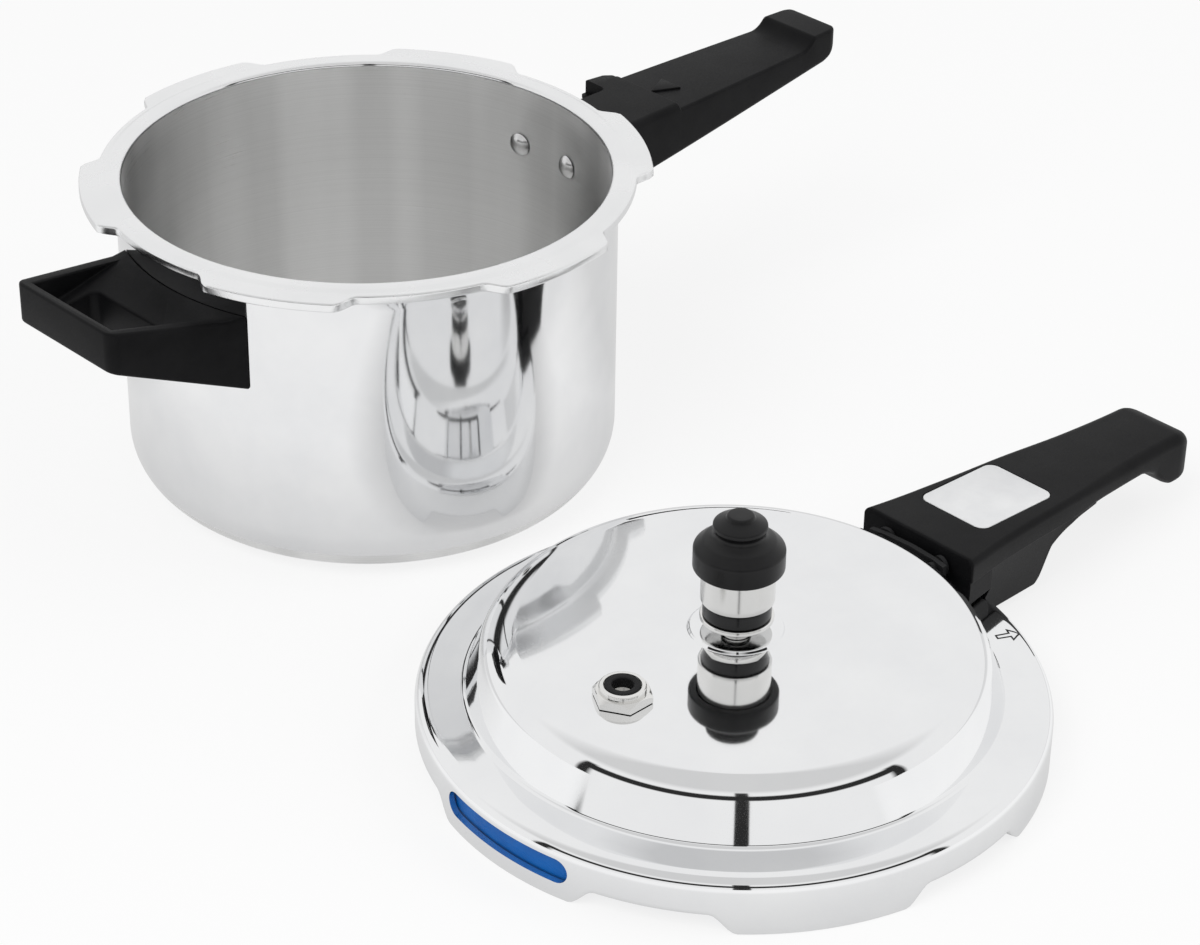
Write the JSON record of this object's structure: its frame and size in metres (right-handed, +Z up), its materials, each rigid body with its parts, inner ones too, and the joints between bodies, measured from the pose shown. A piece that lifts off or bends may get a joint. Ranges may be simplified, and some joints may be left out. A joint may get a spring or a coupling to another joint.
{
  "type": "pressure cooker",
  "caption": "Stovetop pressure cooker: polished pot with a bayonet rim, long and helper handles, and its domed outer lid lying beside it with weight valve and safety plug.",
  "frame": {"origin": "centre of the pot's flat base, on the surface that the pot stands on", "axes": "+Z up along the pot's axis, +X out along the pot's long handle, the helper handle towards -X, and the lid lying on the same surface towards -Y with its own handle towards +X"},
  "size_m": [0.3768, 0.4302, 0.1225],
  "materials": {
    "polished_aluminium": "mirror polished outside, brushed inside",
    "steel": "plain turned steel",
    "weight_steel": "smooth turned steel",
    "black_bakelite": "matte black thermoset with a fine grain",
    "gloss_black": "smooth glossy black moulding",
    "blue_seal": "satin blue rubber",
    "black_rubber": "matte black rubber",
    "silver_badge": "matte silver"
  },
  "bodies": {
    "pot": {"pot_body": "polished_aluminium", "pot_handle": "black_bakelite", "pot_handle_bracket": "steel", "pot_handle_rivet_left": "polished_aluminium", "pot_handle_rivet_right": "polished_aluminium", "pot_handle_screw": "steel", "helper_handle": "black_bakelite", "helper_handle_bracket": "steel", "helper_handle_rivet_left": "polished_aluminium", "helper_handle_rivet_right": "polished_aluminium", "helper_handle_screw": "steel"},
    "sealing_ring": {"sealing_ring": "blue_seal"},
    "lid": {"lid_shell": "polished_aluminium", "vent_tube": "steel", "vent_tube_washer": "black_rubber", "vent_tube_nut": "steel", "safety_plug_body": "steel", "safety_plug_insert": "black_rubber", "safety_plug_washer": "black_rubber", "safety_plug_nut": "steel", "lid_handle": "black_bakelite", "lid_handle_badge": "silver_badge", "lid_handle_bracket": "steel", "lid_handle_rivet_left": "polished_aluminium", "lid_handle_rivet_right": "polished_aluminium", "lid_handle_screw": "steel"},
    "weight": {"weight_body": "weight_steel", "weight_band": "gloss_black", "weight_pin": "weight_steel", "weight_cap": "gloss_black"}
  },
  "joints": [
    {"name": "lid_lift", "type": "slide", "parent": "pot", "child": "sealing_ring", "axis": [0, 0, 1], "range_m": [0, 0.25]},
    {"name": "lid_turn", "type": "hinge", "parent": "sealing_ring", "child": "lid", "pos_m": [-0.03059, -0.21958, 0], "axis": [0, 0, 1], "range_deg": [0, 30]},
    {"name": "weight_lift", "type": "slide", "parent": "lid", "child": "weight", "axis": [0, 0, 1], "range_m": [0, 0.045]}
  ]
}
